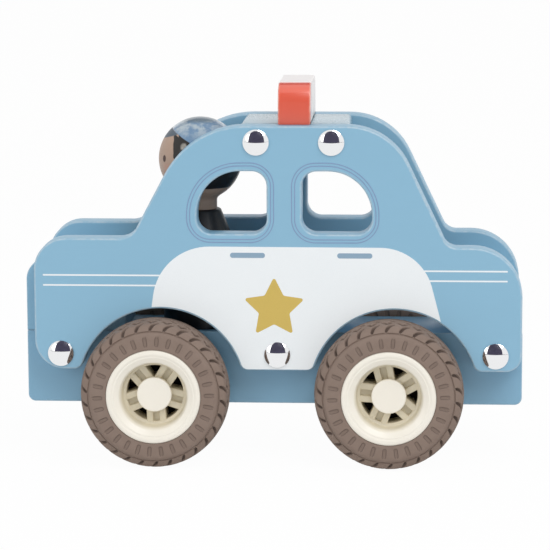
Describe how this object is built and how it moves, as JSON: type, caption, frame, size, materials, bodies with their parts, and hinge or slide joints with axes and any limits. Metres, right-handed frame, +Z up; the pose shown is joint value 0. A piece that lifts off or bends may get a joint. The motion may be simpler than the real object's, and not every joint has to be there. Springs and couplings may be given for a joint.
{
  "type": "toy police car",
  "caption": "Wooden toy police car: two side panels screwed to a chassis block, light bar on the roof, rubber-tyred wheels on axles and a lift-out peg driver.",
  "frame": {"origin": "on the ground, under the middle of the car", "axes": "+X towards the tail, +Y towards the car's right side, +Z up"},
  "size_m": [0.201, 0.085, 0.1536],
  "materials": {
    "blue_paint": "satin light blue paint",
    "beech": "bare turned beech",
    "screw_chrome": "polished",
    "lamp_red": "satin red paint",
    "lamp_white": "satin white paint",
    "axle_steel": "drawn rod",
    "bush_nylon": "moulded",
    "rim_cream": "moulded, semi-gloss",
    "tyre_brown": "matt moulded",
    "driver_navy": "satin navy paint",
    "driver_skin": "painted face, hair and cap"
  },
  "bodies": {
    "car_body": {"chassis_block": "blue_paint", "bonnet_block": "blue_paint", "boot_block": "blue_paint", "bonnet_dowels": "beech", "boot_dowels": "beech", "left_side_panel": "blue_paint", "right_side_panel": "blue_paint", "left_panel_screws": "screw_chrome", "right_panel_screws": "screw_chrome", "roof_block": "blue_paint", "light_dowels": "beech", "light_bar_red": "lamp_red", "light_bar_white": "lamp_white", "front_left_bush": "bush_nylon", "front_right_bush": "bush_nylon", "rear_left_bush": "bush_nylon", "rear_right_bush": "bush_nylon"},
    "front_wheels": {"front_axle": "axle_steel", "front_left_rim": "rim_cream", "front_right_rim": "rim_cream", "front_left_tyre": "tyre_brown", "front_right_tyre": "tyre_brown", "front_left_hub_cap": "rim_cream", "front_right_hub_cap": "rim_cream"},
    "rear_wheels": {"rear_axle": "axle_steel", "rear_left_rim": "rim_cream", "rear_right_rim": "rim_cream", "rear_left_tyre": "tyre_brown", "rear_right_tyre": "tyre_brown", "rear_left_hub_cap": "rim_cream", "rear_right_hub_cap": "rim_cream"},
    "driver": {"driver_body": "driver_navy", "driver_head": "driver_skin"}
  },
  "joints": [
    {"name": "front_axle_spin", "type": "hinge", "parent": "car_body", "child": "front_wheels", "pos_m": [-0.047, 0, 0.03], "axis": [0, 1, 0], "continuous": true},
    {"name": "rear_axle_spin", "type": "hinge", "parent": "car_body", "child": "rear_wheels", "pos_m": [0.047, 0, 0.03], "axis": [0, 1, 0], "continuous": true},
    {"name": "driver_lift", "type": "slide", "parent": "car_body", "child": "driver", "axis": [0, 0, 1], "range_m": [0, 0.11]}
  ]
}
